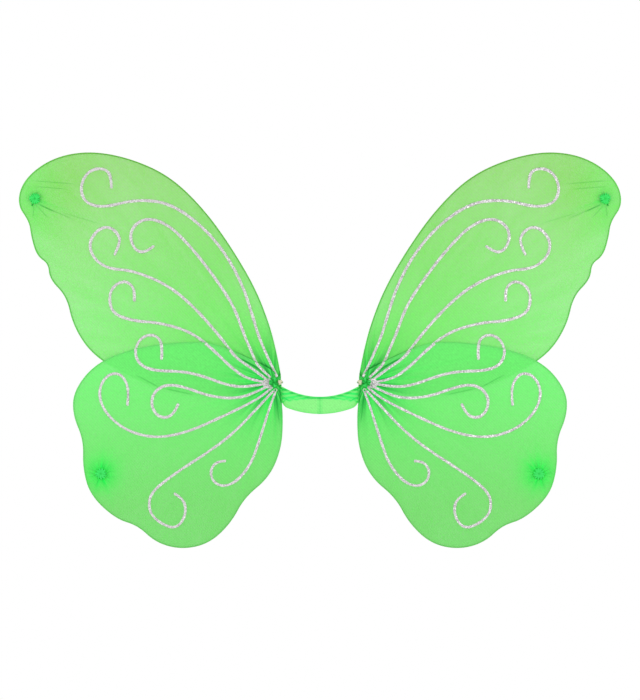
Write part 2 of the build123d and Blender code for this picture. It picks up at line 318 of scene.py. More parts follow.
# %% Grid helper
def grid_object(name, points, close_rows=True, close_columns=True, values=(), caps=False, uv=None):
    """An object from an array of rows of points, in metres."""
    rows, columns = points.shape[:2]
    flat = points.reshape(-1, 3)
    row = np.arange(rows if close_rows else rows - 1)[:, None]
    column = np.arange(columns if close_columns else columns - 1)[None, :]
    next_row = (row + 1) % rows
    next_column = (column + 1) % columns
    faces = np.stack(
        [row * columns + column, row * columns + next_column,
         next_row * columns + next_column, next_row * columns + column], axis=-1,
    ).reshape(-1, 4).tolist()
    if caps:
        faces.append(list(range(columns)))
        faces.append(list(range((rows - 1) * columns, rows * columns))[::-1])
    mesh = bpy.data.meshes.new(name)
    mesh.from_pydata(flat.tolist(), [], faces)
    for key, value in dict(values).items():
        attribute = mesh.attributes.new(key, "FLOAT", "POINT")
        attribute.data.foreach_set("value", np.asarray(value, np.float32).reshape(-1))
    if uv is not None:
        corner_points = np.empty(len(mesh.loops), np.int32)
        mesh.loops.foreach_get("vertex_index", corner_points)
        layer = mesh.uv_layers.new(name=uv[0])
        corners = uv[1].reshape(-1, 2)[corner_points].astype(np.float32)
        layer.data.foreach_set("uv", corners.reshape(-1))
    thing = bpy.data.objects.new(name, mesh)
    bpy.context.collection.objects.link(thing)
    return finish_mesh(thing)


def finish_mesh(thing):
    """Turns all faces outwards and shades them smooth."""
    work = bmesh.new()
    work.from_mesh(thing.data)
    bmesh.ops.recalc_face_normals(work, faces=work.faces)
    work.to_mesh(thing.data)
    work.free()
    thing.data.polygons.foreach_set("use_smooth", [True] * len(thing.data.polygons))
    return thing


print("grids carry values and a flat map")

# %% [markdown]
# ## Nylon
#
# Wings like these are covered with sheer hosiery: a fine tricot knit of polyamide yarn,
# dyed a fluorescent green. It has a soft sheen, it lets light through from behind, and
# where it is bunched it looks darker and stronger in colour because there are more layers
# of it. So the material mixes three things: a lit surface, light that shines through, and
# plain see-through gaps between the yarns. The real loops of the knit are about 0.4 mm
# apart, too fine to see from here, so they are drawn four times as coarse and very faint.

# %% Creases and knots in cloth
def crease_shade_mask(material, mirrored, start, end, width):
    """How strongly the painted shade of a straight crease from start to end, both (out, up), marks a place.
    """
    start, end = Vector(start), Vector(end)
    way = (end - start).normalized()
    length = (end - start).length
    middle = ((start.x + end.x) / 2 * MM, 0, (start.y + end.y) / 2 * MM)
    away = add_node(material, "ShaderNodeVectorMath", {"operation": "SUBTRACT", 1: middle}, {0: mirrored})
    along, across = (way.x, 0, way.y), (-way.y, 0, way.x)
    marks = []
    for axis, strong, gone in ((along, 0.25 * length, 0.55 * length), (across, 0.0, width)):
        reach = add_node(
            material, "ShaderNodeVectorMath", {"operation": "DOT_PRODUCT", 1: axis}, {0: away.outputs[0]}
        )
        reach = add_node(
            material, "ShaderNodeMath", {"operation": "ABSOLUTE"}, {0: reach.outputs["Value"]}
        )
        limits = {"From Min": strong * MM, "From Max": gone * MM, "To Min": 1.0, "To Max": 0.0}
        marks.append(add_node(
            material, "ShaderNodeMapRange", {"interpolation_type": "SMOOTHSTEP", **limits},
            {"Value": reach.outputs[0]},
        ).outputs[0])
    return add_node(
        material, "ShaderNodeMath", {"operation": "MULTIPLY"}, {0: marks[0], 1: marks[1]}
    ).outputs[0]


PLEATS_ROUND = 4.5  # how many fine folds run in to a knot, as waves per radian
PLEAT_RUN = 60.0  # and how fast they change on the way, in waves per metre


def knot_fold_shade_mask(material, mirrored, centre, reach):
    """The painted shade of the fine folds that run in to a rosette from all round, out to this reach."""
    middle = (centre[0] * MM, 0, centre[1] * MM)
    away = add_node(material, "ShaderNodeVectorMath", {"operation": "SUBTRACT", 1: middle}, {0: mirrored})
    part = add_node(material, "ShaderNodeSeparateXYZ", links={0: away.outputs[0]})
    facing = add_node(
        material, "ShaderNodeMath", {"operation": "ARCTAN2"}, {0: part.outputs[0], 1: part.outputs[2]}
    )
    flat = add_node(material, "ShaderNodeCombineXYZ", links={0: part.outputs[0], 1: part.outputs[2]})
    far = add_node(material, "ShaderNodeVectorMath", {"operation": "LENGTH"}, {0: flat.outputs[0]})
    polar = add_node(
        material, "ShaderNodeCombineXYZ", links={0: facing.outputs[0], 1: far.outputs["Value"]}
    )
    polar = add_node(
        material, "ShaderNodeVectorMath", {"operation": "MULTIPLY", 1: (PLEATS_ROUND, PLEAT_RUN, 1.0)},
        {0: polar.outputs[0]},
    )
    ridges = add_node(
        material, "ShaderNodeTexNoise", {"Scale": 1.0, "Detail": 3.0, "Roughness": 0.6},
        {"Vector": polar.outputs[0]},
    )
    folds = add_node(
        material, "ShaderNodeMapRange", {"From Min": 0.45, "From Max": 0.62}, {"Value": ridges.outputs["Fac"]}
    )
    limits = {"From Min": 0.15 * reach * MM, "From Max": reach * MM, "To Min": 1.0, "To Max": 0.0}
    fade = add_node(
        material, "ShaderNodeMapRange", {"interpolation_type": "SMOOTHSTEP", **limits},
        {"Value": far.outputs["Value"]},
    )
    return add_node(
        material, "ShaderNodeMath", {"operation": "MULTIPLY"}, {0: folds.outputs[0], 1: fade.outputs[0]}
    ).outputs[0]


print("a knot's pleats:", round(PLEATS_ROUND * 2 * math.pi), "waves round it")

# %% [markdown]
# The nylon itself is built in the order of its causes. Fine grain and pulled streaks say
# how thick it is at each place, and pleats, creases and the fine folds round a rosette say
# where it is deep in a fold, where its colour is darkened with painted shade. From those
# come how much it hides and what colour it has. The lit and the shining-through cloth are
# then mixed with plain gaps.

# %% Nylon material
KNIT_PITCH = 1.6  # drawn coarser than the real 0.4 mm
MOTTLE_SIZE = 2.6
THINNER = -0.305  # puts the middle of the three grain patterns at nothing
SHINE_THROUGH = 0.2  # the share of the cloth that is lit from behind


def waves_per_metre(pitch):
    """The scale that gives a wave texture bands this many millimetres apart."""
    return 2 * math.pi / (20 * pitch * MM)


def outward_place(material, spot):
    """The place with its distance from the middle taken as positive on both sides."""
    across = add_node(material, "ShaderNodeSeparateXYZ", links={0: spot})
    outward = add_node(material, "ShaderNodeMath", {"operation": "ABSOLUTE"}, {0: across.outputs[0]})
    return add_node(
        material, "ShaderNodeCombineXYZ",
        links={0: outward.outputs[0], 1: across.outputs[1], 2: across.outputs[2]},
    ).outputs[0]


def nylon_material(name, stretched, bunched, folded, covers, creases=(), knot=None, painted_glow=0.0):
    """Tricot nylon: its colours where it is stretched, bunched and deep in a fold, and how
    much it hides where it is thick, pulled thin, and bunched. The second stretched colour is
    the painted shade that a wing's colour ramp blends in, and the fold colour is painted
    shade. Creases are (from, to, width, strength), lines of painted shade, and a knot is
    (centre, reach, strength), the painted shade of the fine folds round a rosette. The glow
    is painted light: the cloth gives off its own colour whatever the lamps, standing in for
    the fluorescent dye."""
    nylon = empty_material(name)
    spot = add_node(nylon, "ShaderNodeTexCoord").outputs["Object"]
    bunch, shade_ramp, thin, fold = (
        add_node(nylon, "ShaderNodeAttribute", {"attribute_name": key}).outputs["Fac"]
        for key in ("bunch", "shade_ramp", "thin", "fold")
    )
    pull = add_node(nylon, "ShaderNodeUVMap", {"uv_map": "pull"}).outputs[0]
    wales = add_node(
        nylon, "ShaderNodeTexWave",
        {"bands_direction": "DIAGONAL", "Scale": waves_per_metre(KNIT_PITCH), "Distortion": 0.6},
        {"Vector": spot},
    )
    mottle = add_node(
        nylon, "ShaderNodeTexNoise", {"Scale": 1 / (MOTTLE_SIZE * MM), "Detail": 5.0, "Roughness": 0.75},
        {"Vector": spot},
    )
    drawn_out = []  # noise drawn out along the pull of the cloth: streaks, then gathers
    for scale, detail, roughness in (((60.0, 1.4, 1.0), 3.0, 0.6), ((26.0, 0.9, 1.0), 2.0, 0.5)):
        drawn = add_node(nylon, "ShaderNodeMapping", {"Scale": scale}, {"Vector": pull})
        drawn_out.append(add_node(
            nylon, "ShaderNodeTexNoise", {"Scale": 1.0, "Detail": detail, "Roughness": roughness},
            {"Vector": drawn.outputs[0]},
        ))
    streaks, gathers = drawn_out

    thickness = None
    for share, pattern in ((0.05, wales), (0.40, mottle), (0.16, streaks)):
        so_far = {2: thickness} if thickness else {}
        thickness = add_node(
            nylon, "ShaderNodeMath", {"operation": "MULTIPLY_ADD", 1: share, 2: THINNER},
            {0: pattern.outputs["Fac"], **so_far},
        ).outputs[0]

    # Painted shade: where the fold value meets a valley of the gathers, and along the creases and the fine
    # folds round a rosette, the cloth is darkened towards the fold colour. The same places also hide more, as
    # denser cloth.
    valley_shade = add_node(
        nylon, "ShaderNodeMapRange", {"From Min": 0.43, "From Max": 0.60}, {"Value": gathers.outputs["Fac"]}
    )
    deep = add_node(
        nylon, "ShaderNodeMath", {"operation": "MULTIPLY", "use_clamp": True},
        {0: fold, 1: valley_shade.outputs[0]},
    ).outputs[0]
    mirrored = outward_place(nylon, spot)
    marks = [(crease_shade_mask(nylon, mirrored, *crease[:3]), crease[3]) for crease in creases]
    if knot:
        marks.append((knot_fold_shade_mask(nylon, mirrored, *knot[:2]), knot[2]))
    for shade_mark, strength in marks:
        deep = add_node(
            nylon, "ShaderNodeMath", {"operation": "MULTIPLY_ADD", 1: strength, "use_clamp": True},
            {0: shade_mark, 2: deep},
        ).outputs[0]

    open_cover = add_node(
        nylon, "ShaderNodeMapRange", {"To Min": covers[0], "To Max": covers[1]}, {"Value": thin}
    )
    most = add_node(nylon, "ShaderNodeMath", {"operation": "MAXIMUM"}, {0: bunch, 1: deep})
    cover = add_node(
        nylon, "ShaderNodeMix", {"data_type": "FLOAT", 3: covers[2]},
        {0: most.outputs[0], 2: open_cover.outputs[0]},
    )
    hides = add_node(
        nylon, "ShaderNodeMath", {"operation": "ADD", "use_clamp": True},
        {0: cover.outputs[0], 1: thickness},
    )
    # The two stretched colours follow the painted light and shade ramp.
    colour = add_node(
        nylon, "ShaderNodeMix", {"data_type": "RGBA", 6: linear(stretched[0]), 7: linear(stretched[1])},
        {0: shade_ramp},
    )
    # The bunched colour is denser cloth; the fold colour laid over it is painted shade.
    for amount, shade in ((bunch, bunched), (deep, folded)):
        colour = add_node(
            nylon, "ShaderNodeMix", {"data_type": "RGBA", 7: linear(shade)},
            {0: amount, 6: colour.outputs[2]},
        )
    bump = add_node(
        nylon, "ShaderNodeBump", {"Strength": 0.25, "Distance": 0.0002}, {"Height": wales.outputs["Fac"]}
    )
    # The glow is painted light: emission in the cloth's own colour, whatever the lamps.
    lit = add_node(
        nylon, "ShaderNodeBsdfPrincipled",
        {"Roughness": 0.62, "Specular IOR Level": 0.25, "IOR": 1.53, "Sheen Weight": 0.12,
         "Sheen Roughness": 0.4, "Emission Strength": painted_glow},
        {"Base Color": colour.outputs[2], "Emission Color": colour.outputs[2], "Normal": bump.outputs[0]},
    )
    through = add_node(
        nylon, "ShaderNodeBsdfTranslucent", links={"Color": colour.outputs[2], "Normal": bump.outputs[0]}
    )
    cloth = add_node(
        nylon, "ShaderNodeMixShader", {0: SHINE_THROUGH}, {1: lit.outputs[0], 2: through.outputs[0]}
    )
    gaps = add_node(nylon, "ShaderNodeBsdfTransparent")
    surface = add_node(
        nylon, "ShaderNodeMixShader", links={0: hides.outputs[0], 1: gaps.outputs[0], 2: cloth.outputs[0]}
    )
    add_node(nylon, "ShaderNodeOutputMaterial", links={"Surface": surface.outputs[0]})
    return nylon


print("nylon is drawn with wales", KNIT_PITCH, "mm apart")

# %% [markdown]
# The upper wings are a lighter and yellower green than the lower ones. Each has its own
# long creases, drawn as lines of painted shade, which run between the knots and the wire.

# %% The two nylons of the wings
UPPER_CREASE_SHADES = [  # the long thin creases, as lines of painted shade: from, to, width and strength
    ((318, 247.5), (268, 243.5), 1.0, 0.34), ((316, 241), (278, 238), 1.0, 0.34),
    ((311, 222), (270, 204), 1.3, 0.30), ((286, 213), (240, 199), 1.0, 0.26),
    ((311, 222), (292, 213), 1.2, 0.45), ((312, 220), (299, 206), 1.0, 0.35),
    ((314.5, 222), (316, 206), 1.4, 0.30), ((316, 222.5), (316.8, 219), 1.6, 1.0),
    ((96, 60), (50, 38.5), 1.5, 0.85), ((62, 47), (50, 35), 1.6, 0.7),
]
LOWER_CREASE_SHADES = [
    ((92, 54), (53, 33), 1.4, 0.85), ((44.5, 26), (43.2, 0), 1.1, 0.8),
    ((48.5, 12), (44.6, -20), 1.1, 0.4), ((203, 34), (176, 19.5), 1.2, 0.42),
    ((172, 19), (138, 11.5), 1.2, 0.42),
]
UPPER_NYLON = nylon_material(
    "tricot_nylon_upper", ("#7cf466", "#84e244"), "#22f458", "#04a838", (0.80, 0.57, 0.93), UPPER_CREASE_SHADES,
    knot=(ROSETTES["upper"], 12.0, 0.5),
)
LOWER_NYLON = nylon_material(
    "tricot_nylon_lower", ("#7cfc80", "#82e876"), "#10ff58", "#04ac3a", (0.88, 0.78, 0.95), LOWER_CREASE_SHADES,
    knot=(ROSETTES["lower"], 21.0, 0.4), painted_glow=0.03,
)
WING_NYLON = {"upper": UPPER_NYLON, "lower": LOWER_NYLON}
print(len(UPPER_CREASE_SHADES), "creases on an upper wing,", len(LOWER_CREASE_SHADES), "on a lower one")

# %% [markdown]
# ## Pleats
#
# A flat bag only fits a bent loop because its spare cloth is gathered in two places: at
# the root, where thread binds it to the post, and near the tip, where it is twisted into
# a small rosette. From both places pleats fan out and die away. Each pleat is a long low
# ridge, given by its direction, its width at the start, its height and its length.

# %% Pleats at the roots and the rosettes
PLEAT_CLEAR = 3.0  # nothing is lifted this near to a knot


def pleat_field(spots, centre, pleats):
    """How far the pleats round a knot lift the nylon at these places, and how much they
    bunch it."""
    away = spots - np.array(centre)
    reach = np.hypot(away[..., 0], away[..., 1])
    facing = np.arctan2(away[..., 1], away[..., 0])
    lift = np.zeros(reach.shape)
    bunch = np.zeros(reach.shape)
    for angle, spread, height, length in pleats:
        turn = (facing - math.radians(angle) + math.pi) % (2 * math.pi) - math.pi
        width = 0.35 + spread * reach
        ridge = np.exp(-((reach * turn / width) ** 2)) * (np.abs(turn) < 1.3)
        fading = np.exp(-reach / length) * np.clip((reach - PLEAT_CLEAR) / 6, 0, 1)
        lift += height * ridge * fading
        bunch += ridge * fading
    return lift, bunch


def root_pleats(chance, level):
    """Pleats that fan out from the post over the wing's own sector."""
    first, last = {"upper": (-14, 97), "lower": (-104, 33)}[level]
    count = 30 if level == "upper" else 36
    pleats = []
    for i in range(count):
        angle = first + (last - first) * (i + chance.uniform(0.1, 0.9)) / count
        spread = chance.uniform(0.012, 0.035)
        height = chance.uniform(0.3, 1.1)
        length = chance.uniform(12, 42)
        pleats.append((angle, spread, height, length))
    return pleats


TIP_CREASES = {  # the long creases: direction, spread, height and length
    "upper": [
        (200, 0.03, 0.5, 26), (206, 0.05, 0.6, 14), (221, 0.05, 0.6, 12), (236, 0.04, 0.4, 10),
        (252, 0.04, 0.4, 10), (268, 0.09, 0.6, 15), (285, 0.05, 0.3, 8),
    ],
    "lower": [
        (95, 0.08, 0.5, 15), (118, 0.06, 0.5, 12), (140, 0.06, 0.4, 10), (250, 0.08, 0.4, 12),
        (290, 0.09, 0.4, 12),
    ],
}


def tip_pleats(chance, level):
    """Short pleats all round a rosette, and the few long creases that leave it."""
    pleats = list(TIP_CREASES[level])
    count = 18
    for i in range(count):
        angle = 360 * (i + chance.uniform(0.1, 0.9)) / count
        length = chance.uniform(3.5, 6.5) if level == "upper" else chance.uniform(6, 10)
        pleats.append((angle, chance.uniform(0.03, 0.06), chance.uniform(0.25, 0.6), length))
    return pleats


class Cloth:
    """The nylon of one wing: where its front and back lie, and how it is bunched."""

    def __init__(self, level, side_name):
        chance = random.Random(f"{level} {side_name}")
        self.level = level
        self.knots = [(ROOT, root_pleats(chance, level)), (ROSETTES[level], tip_pleats(chance, level))]
        self.rooms = {"upper": (0.45, 1.2), "lower": (1.2, 0.4)}[level]

    def folds(self, spots):
        lift = bunch = 0.0
        for centre, pleats in self.knots:
            more_lift, more_bunch = pleat_field(spots, centre, pleats)
            lift = lift + more_lift
            bunch = bunch + more_bunch
        return lift, bunch

    def lift(self, spots, room):
        """How far pleats raise the nylon, held to the room there is."""
        return room * np.tanh(self.folds(spots)[0] / room)

    def front(self, spots):
        """Depth of the front layer. The upper wing has the lower one close before it."""
        return WING_MIDDLE[self.level] + COVER_R + self.lift(spots, self.rooms[0])

    def back(self, spots):
        """Depth of the back layer, with the upper wing close behind the lower one."""
        return WING_MIDDLE[self.level] - COVER_R - self.lift(spots, self.rooms[1])


cloths = {(level, name): Cloth(level, name) for level in OUTLINES for name in SIDES}
print(len(cloths), "nylon bags planned")

# %% [markdown]
# ## The nylon bags
#
# Each bag is one closed grid. Its columns run from a small hole at the post out to the
# rim, round the wire, and back over the other layer to the hole, so the pleats at the
# root follow the columns and stay crisp.

# %% Nylon bags
HOLE_R = 1.3
FRONT_ROWS = 120
BACK_ROWS = 56
RIM_ROWS = 7
ROW_CROWD = 1.3  # rows are closer together near the root


def bag_points(level, cloth):
    """The bag's grid in (out, depth, up), with its bunching, its tint and its flat map."""
    rim = rims[level]
    outward = outward_ways(rim)
    hub = np.array(ROOT)
    ways = rim - hub
    ways = ways / np.linalg.norm(ways, axis=1, keepdims=True)
    hole = hub + HOLE_R * ways

    rows = []
    for count, layer in ((FRONT_ROWS, "front"), (BACK_ROWS, "back")):
        shares = (np.arange(count) / count) ** ROW_CROWD
        if layer == "back":
            angles = np.linspace(math.pi / 2, -math.pi / 2, RIM_ROWS + 2)[1:-1]
            for angle in angles:
                spot = rim + outward * COVER_R * math.cos(angle)
                rows.append((spot, np.full(len(rim), WING_MIDDLE[level] + COVER_R * math.sin(angle))))
            shares = np.append(shares, 1.0)[::-1]
        else:
            shares = np.append(shares, 1.0)
        for share in shares:
            spot = hole + (rim - hole) * share
            depth = cloth.front(spot) if layer == "front" else cloth.back(spot)
            flat = WING_MIDDLE[level] + (COVER_R if layer == "front" else -COVER_R)
            hold = np.clip(np.linalg.norm(rim - spot, axis=1) / 3.0, 0, 1)  # no lift at the wire
            rows.append((spot, flat + (depth - flat) * hold))
    spots = np.array([spot for spot, _ in rows])
    depths = np.array([depth for _, depth in rows])
    return spots, depths


ROOT_BUNCH = (0.75, 34)  # how much the cloth is bunched at the root, and how far out
TIP_BUNCH = {"upper": (0.30, 9), "lower": (0.75, 19)}  # the same round each rosette
ROOT_FOLD_SHADE = (1.25, 30)  # and how much deep folds show at the root, as denser cloth with painted shade
INNER_EDGE = 110  # the pulled inner edge of an upper wing ends this far out
SHADE_RAMP_UP = {"upper": (90, 260), "lower": (60, -110)}  # where each wing's painted light and shade ramp starts and ends


def share(value, start, end):
    """0 at the start and 1 at the end, and level beyond."""
    return np.clip((value - start) / (end - start), 0, 1)


def bag_values(level, cloth, spots):
    """What the material needs to know about each point."""
    from_root = np.linalg.norm(spots - np.array(ROOT), axis=-1)
    from_tip = np.linalg.norm(spots - np.array(ROSETTES[level]), axis=-1)
    bunch = 0.55 * cloth.folds(spots)[1]
    bunch += ROOT_BUNCH[0] * np.exp(-((from_root / ROOT_BUNCH[1]) ** 1.5))
    bunch += TIP_BUNCH[level][0] * np.exp(-((from_tip / TIP_BUNCH[level][1]) ** 2))
    fold = ROOT_FOLD_SHADE[0] * np.exp(-((from_root / ROOT_FOLD_SHADE[1]) ** 1.6))
    out, up = spots[..., 0], spots[..., 1]
    # Painted light and shade: darker towards the top of the upper wing and the bottom of the lower one, and
    # fading out towards the upper wing's outer tip.
    shade_ramp = share(up, *SHADE_RAMP_UP[level])
    thin = share(from_root, 0, 250) * (1 - 0.6 * np.exp(-((from_tip / 45) ** 2)))
    if level == "upper":
        thin += 0.45 * share(up - out, 0, 40) * share(INNER_EDGE - out, 0, 40)
        shade_ramp *= share(335 - out, 0, 60)
    return {"bunch": bunch.clip(0, 1), "shade_ramp": shade_ramp, "thin": thin.clip(0, 1), "fold": fold.clip(0, 1)}


for (level, side_name), cloth in cloths.items():
    side = SIDES[side_name]
    spots, depths = bag_points(level, cloth)
    points = np.stack([side * spots[..., 0], -depths, spots[..., 1]], axis=-1) * MM
    away = spots - np.array(ROOT)
    facing = np.arctan2(away[..., 1], away[..., 0]) / math.pi
    pull = np.stack([facing, np.hypot(away[..., 0], away[..., 1]) / 100], axis=-1)
    name = f"{side_name}_{level}_nylon"
    bag = grid_object(name, points, values=bag_values(level, cloth, spots), uv=("pull", pull))
    bag.data.materials.append(WING_NYLON[level])
    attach(bag, f"{side_name}_{level}_wing")
    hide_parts(f"{side_name}_{level}_nylon_cover")
    print(name, len(bag.data.polygons), "faces")

# %% [markdown]
# ## Wire loops
#
# Under the nylon runs a spring-steel wire, 1.4 mm thick with a grey-green plastic skin. A
# NURBS curve with a round bevel is the quickest way to a wire of even thickness.

# %% Coated wire
def patterned_material(name, pattern, settings, tones, bump, finish, rough=None, uv=None):
    """A material in two close tones that follow a pattern, which also raises it a little.
    bump is (strength, height in millimetres), and rough the least and most roughness."""
    material = empty_material(name)
    if uv:
        spot = add_node(material, "ShaderNodeUVMap", {"uv_map": uv}).outputs[0]
    else:
        spot = add_node(material, "ShaderNodeTexCoord").outputs["Object"]
    grain = add_node(material, pattern, settings, {"Vector": spot}).outputs["Fac"]
    tone = add_node(
        material, "ShaderNodeMix", {"data_type": "RGBA", 6: linear(tones[0]), 7: linear(tones[1])}, {0: grain}
    )
    raised = add_node(
        material, "ShaderNodeBump", {"Strength": bump[0], "Distance": bump[1] * MM}, {"Height": grain}
    )
    looks = {"Base Color": tone.outputs[2], "Normal": raised.outputs[0]}
    if rough:
        looks["Roughness"] = add_node(
            material, "ShaderNodeMapRange", {"To Min": rough[0], "To Max": rough[1]}, {"Value": grain}
        ).outputs[0]
    body = add_node(material, "ShaderNodeBsdfPrincipled", finish, looks)
    add_node(material, "ShaderNodeOutputMaterial", links={"Surface": body.outputs[0]})
    return material


coated = patterned_material(
    "pvc_coated_steel_wire", "ShaderNodeTexNoise", {"Scale": 700.0, "Detail": 4.0},
    ("#4e8a58", "#6cae74"), bump=(0.2, 0.1), finish={"IOR": 1.54}, rough=(0.28, 0.5),
)


def tube(name, lines, radius, closed=False, sides=10):
    """A round wire or thread along each of these lines, as one mesh. Points in metres."""
    data = bpy.data.curves.new(name, "CURVE")
    data.dimensions = "3D"
    data.bevel_depth = radius * MM
    data.bevel_resolution = max(0, (sides - 4) // 2)
    data.resolution_u = 2
    data.use_fill_caps = not closed
    for line in lines:
        spline = data.splines.new("NURBS")
        spline.points.add(len(line) - 1)
        for point, spot in zip(spline.points, line):
            point.co = (*spot, 1)
        spline.use_cyclic_u = closed
        spline.use_endpoint_u = not closed
        spline.order_u = 3
    thing = bpy.data.objects.new(name, data)
    bpy.context.collection.objects.link(thing)
    bpy.ops.object.select_all(action="DESELECT")
    thing.select_set(True)
    bpy.context.view_layer.objects.active = thing
    bpy.ops.object.convert(target="MESH")
    return finish_mesh(bpy.context.object)


for level in OUTLINES:
    for side_name, side in SIDES.items():
        line = [place(side, out, WING_MIDDLE[level], up) for out, up in rims[level][::2]]
        name = f"{side_name}_{level}_wire"
        wire = tube(name, [line], WIRE_R, closed=True)
        wire.data.materials.append(coated)
        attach(wire, f"{side_name}_{level}_wing")
        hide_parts(f"{side_name}_{level}_wire_loop")
        print(name, len(wire.data.polygons), "faces")

for name in ("left_link_wire", "right_link_wire", "bridge_wire"):
    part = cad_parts[name]
    part.data.materials.clear()
    part.data.materials.append(coated)

# %% [markdown]
# ## Glitter scrolls
#
# The scrolls are squeezed from a bottle of glitter glue while the wings lie flat, so each
# is a low bead with a slightly uneven width, full of hard little flakes. They are drawn
# over both wings at once: what lands past the lower wing's edge sits on the upper wing.

# %% Scroll lines
HIGH_SCROLL = [
    (47, 31), (57, 51.5), (67.5, 76), (74, 98), (84.5, 131), (103.5, 167), (131, 199),
    (167, 223.5), (204, 226.5), (238, 217.5), (258, 222.5), (264, 238), (258.5, 254),
    (246, 261.5), (232.5, 258.5), (229.4, 246), (229.6, 238.5),
]
SECOND_SCROLL = [
    (54, 30.5), (61, 37), (70, 45.5), (76, 60.5), (84, 79), (95, 110), (118, 144),
    (142, 174.5), (166, 198.5), (190, 207), (206.5, 197), (209, 182.5), (202.5, 170),
    (192, 168), (182, 176),
]
THIRD_SCROLL = [
    (58.5, 28.5), (72, 39), (93, 52.5), (108, 73.5), (138, 108), (168, 133),
    (206, 148.5), (234, 150.5), (249.5, 162), (254.5, 178), (246, 192.5), (233, 197.5),
    (222, 189), (219.5, 178.5), (226.5, 165),
]
FOURTH_SCROLL = [
    (58, 25.5), (78, 28), (97, 41), (118, 62), (142, 81), (176, 91), (206, 93),
    (228, 101), (232.5, 118), (227.5, 131.5), (215, 137.5), (205.5, 131), (204, 121),
    (204.3, 114),
]
FIFTH_SCROLL = [
    (58, 24.5), (82, 19.5), (104, 23), (127.5, 32), (150, 37.5), (180, 38), (197, 43.5),
    (204, 57), (199.5, 72), (188, 78.5), (177, 75), (173, 63), (174.3, 50),
]
SIXTH_SCROLL = [
    (57, 21.5), (78, 10.5), (100, 7.5), (124, 11), (148, 20), (167, 23.5), (180.5, 17),
    (186, 4.5), (181.5, -9), (171, -14.5), (160, -9), (155.5, 2.5),
]
SEVENTH_SCROLL = [
    (52, 20.5), (62, 11.5), (78, 2), (110, -13.5), (146, -29.5), (180, -36),
    (210, -29), (232, -13), (242.5, 6), (241.5, 23), (232, 34.5), (220, 35.5),
    (211.5, 24), (210.5, 10), (211.8, -0.5),
]
EIGHTH_SCROLL = [
    (51, 16.5), (66, 0), (96, -31.5), (124, -52), (150, -68.5), (174, -85.5),
    (186.5, -98), (188.3, -112), (183.5, -122.5), (173, -130.5), (160.5, -135),
    (151.5, -128.5), (147, -115.5), (150, -102.5), (160.8, -96.3),
]
LOW_SCROLL = [
    (48.8, 15), (52.5, 6), (60, -17), (66.5, -38), (76, -65), (92, -84), (107, -89.5),
    (118.5, -83), (120.5, -70.5), (113, -61), (103, -61),
]
WIDE_SCROLLS = [HIGH_SCROLL, SECOND_SCROLL, THIRD_SCROLL, FOURTH_SCROLL, FIFTH_SCROLL, SIXTH_SCROLL]
FINE_SCROLLS = [SEVENTH_SCROLL, EIGHTH_SCROLL, LOW_SCROLL]
WIDE = 3.4
FINE = 3.1
ROOT_NARROW = 0.84  # the share of its width that a scroll has at the root
BEAD_STEP = 0.9
KNOT_ROOM = 3.9  # the glue stops this far from the post
LOWER_GLUE_PAST = 0.7  # the glue on the lower wing ends this far past its wire's middle
UPPER_GLUE_PAST = -0.9  # and starts again on the upper wing a little under that edge


def inside(spots, rim):
    """Which of these places lie within a closed flat line."""
    result = np.zeros(len(spots), bool)
    before = np.roll(rim, 1, axis=0)
    for (x0, y0), (x1, y1) in zip(before, rim):
        crosses = (y0 > spots[:, 1]) != (y1 > spots[:, 1])
        if y1 != y0:
            at = x0 + (spots[:, 1] - y0) * (x1 - x0) / (y1 - y0)
            result ^= crosses & (spots[:, 0] < at)
    return result


def scroll_runs(level):
    """The pieces of all scrolls that land on this wing, with their widths, and which of
    their ends are cut by the lower wing's edge."""
    rim = rims["lower"]
    edge = rim + outward_ways(rim) * (LOWER_GLUE_PAST if level == "lower" else UPPER_GLUE_PAST)
    runs = []
    for scroll in WIDE_SCROLLS + FINE_SCROLLS:
        width = WIDE if scroll in WIDE_SCROLLS else FINE
        spots = lay_out(smooth_line(scroll, closed=False), lambda _: BEAD_STEP, closed=False)
        over_lower = inside(spots, edge)
        clear = np.linalg.norm(spots - np.array(ROOT), axis=1) > KNOT_ROOM
        wanted = (over_lower if level == "lower" else ~over_lower) & clear
        start = None
        for i in range(len(spots) + 1):
            on = i < len(spots) and wanted[i]
            if on and start is None:
                start = i
            if not on and start is not None:
                cut = (start > 0 and clear[start - 1], i < len(spots) and clear[i])
                if i - start > 5:
                    runs.append((spots[start:i], width, cut))
                start = None
    return runs


runs = {level: scroll_runs(level) for level in OUTLINES}
print({level: len(found) for level, found in runs.items()}, "runs of glitter")

# %% [markdown]
# Dried glitter glue is clear glue packed with flakes of aluminised polyester. Each flake
# lies at its own small angle and flashes on its own, so the material gives every cell of
# a Voronoi pattern its own tilt, and a brightness of its own in the base colour, which is a
# painted glint on top of the light that the tilt catches. Real flakes are about 0.2 mm
# across. They are drawn at 0.75 mm, the size that can still be told apart here.

# %% Glitter material
FLAKE = 0.75
TILT = 0.7  # how far a flake leans, as a part of its normal

glitter = empty_material("aluminised_polyester_glitter")
spot = add_node(glitter, "ShaderNodeTexCoord").outputs["Object"]
flakes = add_node(
    glitter, "ShaderNodeTexVoronoi", {"Scale": 1 / (FLAKE * MM), "Randomness": 1.0}, {"Vector": spot}
)
shade = add_node(glitter, "ShaderNodeSeparateColor", links={0: flakes.outputs["Color"]})
